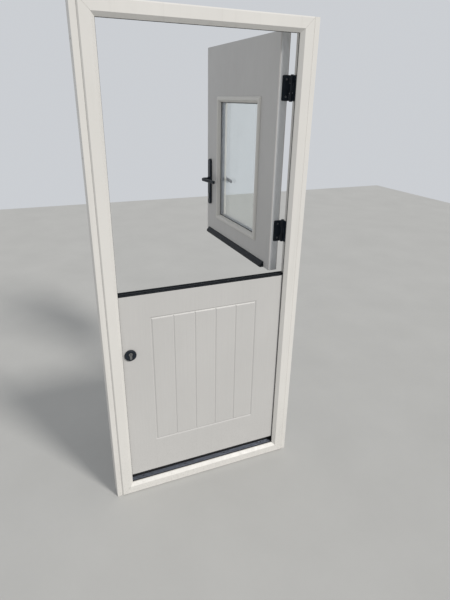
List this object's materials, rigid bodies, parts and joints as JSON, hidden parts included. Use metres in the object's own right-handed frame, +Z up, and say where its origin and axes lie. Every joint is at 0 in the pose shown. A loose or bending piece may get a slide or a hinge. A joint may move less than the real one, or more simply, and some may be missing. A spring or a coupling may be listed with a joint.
{
  "type": "stable door with frame",
  "caption": "Split stable door in a white frame: glazed upper leaf standing open inwards, planked lower leaf closed over a ribbed threshold.",
  "frame": {"origin": "middle of the sill's underside, half way through the frame's depth", "axes": "+X right as seen from outside, towards the hinges; +Y into the house; +Z up"},
  "size_m": [0.938, 0.9025, 2.1],
  "materials": {
    "frame_white": "satin",
    "leaf_skin": "satin",
    "edge_white": "satin",
    "bead_cream": "satin",
    "black_rubber": "matte",
    "black_plastic": "satin",
    "black_metal": "satin",
    "aluminium": "satin",
    "screw_black": "satin",
    "lock_steel": "satin",
    "cylinder_nickel": "satin",
    "clear_glass": "polished",
    "foam_core": "matte"
  },
  "bodies": {
    "frame": {"hinge_jamb": "frame_white", "lock_jamb": "frame_white", "frame_head": "frame_white", "frame_sill": "frame_white", "hinge_side_trim": "frame_white", "lock_side_trim": "frame_white", "frame_gasket": "black_rubber", "threshold": "aluminium", "upper_low_frame_hinge": "black_metal", "upper_high_frame_hinge": "black_metal", "lower_low_frame_hinge": "black_metal", "lower_high_frame_hinge": "black_metal", "hinge_pins": "black_metal", "frame_screws": "screw_black", "upper_keep": "lock_steel", "lower_keep": "lock_steel"},
    "upper_leaf": {"upper_outer_skin": "leaf_skin", "upper_inner_skin": "leaf_skin", "upper_core": "foam_core", "upper_edge_frame": "edge_white", "outer_bead": "bead_cream", "inner_bead": "bead_cream", "bead_caps": "bead_cream", "outer_pane": "clear_glass", "inner_pane": "clear_glass", "pane_spacer": "aluminium", "weather_bar": "black_plastic", "upper_low_leaf_hinge": "black_metal", "upper_high_leaf_hinge": "black_metal", "upper_screws": "screw_black", "upper_lock_case": "lock_steel", "outer_backplate": "black_metal", "inner_backplate": "black_metal", "upper_cylinder": "cylinder_nickel", "joiner_keeper": "black_metal"},
    "lower_leaf": {"lower_outer_skin": "leaf_skin", "lower_inner_skin": "leaf_skin", "lower_core": "foam_core", "lower_edge_frame": "edge_white", "lower_top_cap": "black_plastic", "lower_bottom_seal": "black_rubber", "lower_low_leaf_hinge": "black_metal", "lower_high_leaf_hinge": "black_metal", "lower_screws": "screw_black", "lower_lock_case": "lock_steel", "outer_rose": "black_metal", "inner_rose": "black_metal", "lower_cylinder": "cylinder_nickel", "joiner_base": "black_metal"},
    "lever": {"outer_lever": "black_metal", "inner_lever": "black_metal", "spindle": "lock_steel"},
    "latch": {"latch": "lock_steel"},
    "upper_deadbolt": {"upper_deadbolt": "lock_steel"},
    "throw_bolts": {"throw_bolts": "lock_steel"},
    "upper_thumb_turn": {"upper_thumb_turn": "cylinder_nickel"},
    "lower_thumb_turn": {"lower_thumb_turn": "cylinder_nickel"},
    "lower_deadbolt": {"lower_deadbolt": "lock_steel"},
    "joiner_bolt": {"joiner_bolt": "black_metal"}
  },
  "joints": [
    {"name": "upper_leaf_swing", "type": "hinge", "parent": "frame", "child": "upper_leaf", "pos_m": [0.4055, 0.048, 1.555], "axis": [0, 0, -1], "range_deg": [-90, 80]},
    {"name": "lower_leaf_swing", "type": "hinge", "parent": "frame", "child": "lower_leaf", "pos_m": [0.4055, 0.048, 0.57], "axis": [0, 0, -1], "range_deg": [0, 170]},
    {"name": "lever_press", "type": "hinge", "parent": "upper_leaf", "child": "lever", "pos_m": [0.3675, 0.8065, 1.372], "axis": [1, 0, 0], "range_deg": [0, 35], "stiffness_Nm_per_rad": 0.8, "springref_deg": -40.11},
    {"name": "latch_slide", "type": "slide", "parent": "upper_leaf", "child": "latch", "axis": [0, -1, 0], "range_m": [0, 0.011]},
    {"name": "upper_thumb_turning", "type": "hinge", "parent": "upper_leaf", "child": "upper_thumb_turn", "pos_m": [0.3675, 0.8065, 1.28], "axis": [1, 0, 0], "range_deg": [-720, 0]},
    {"name": "upper_deadbolt_slide", "type": "slide", "parent": "upper_leaf", "child": "upper_deadbolt", "axis": [0, -1, 0], "range_m": [-0.02, 0]},
    {"name": "throw_bolt_slide", "type": "slide", "parent": "upper_leaf", "child": "throw_bolts", "axis": [0, -1, 0], "range_m": [-0.02, 0]},
    {"name": "lower_thumb_turning", "type": "hinge", "parent": "lower_leaf", "child": "lower_thumb_turn", "pos_m": [-0.353, 0.01, 0.775], "axis": [0, 1, 0], "range_deg": [-360, 0]},
    {"name": "lower_deadbolt_slide", "type": "slide", "parent": "lower_leaf", "child": "lower_deadbolt", "axis": [1, 0, 0], "range_m": [-0.02, 0]},
    {"name": "joiner_bolt_slide", "type": "slide", "parent": "lower_leaf", "child": "joiner_bolt", "axis": [0, 0, -1], "range_m": [-0.034, 0]}
  ],
  "couplings": [
    {"joint": "latch_slide", "follows": "lever_press", "m_per_rad": 0.018},
    {"joint": "upper_thumb_turning", "follows": "upper_deadbolt_slide", "rad_per_m": 628.3},
    {"joint": "throw_bolt_slide", "follows": "upper_deadbolt_slide", "ratio": 1},
    {"joint": "lower_thumb_turning", "follows": "lower_deadbolt_slide", "rad_per_m": 314.1}
  ]
}
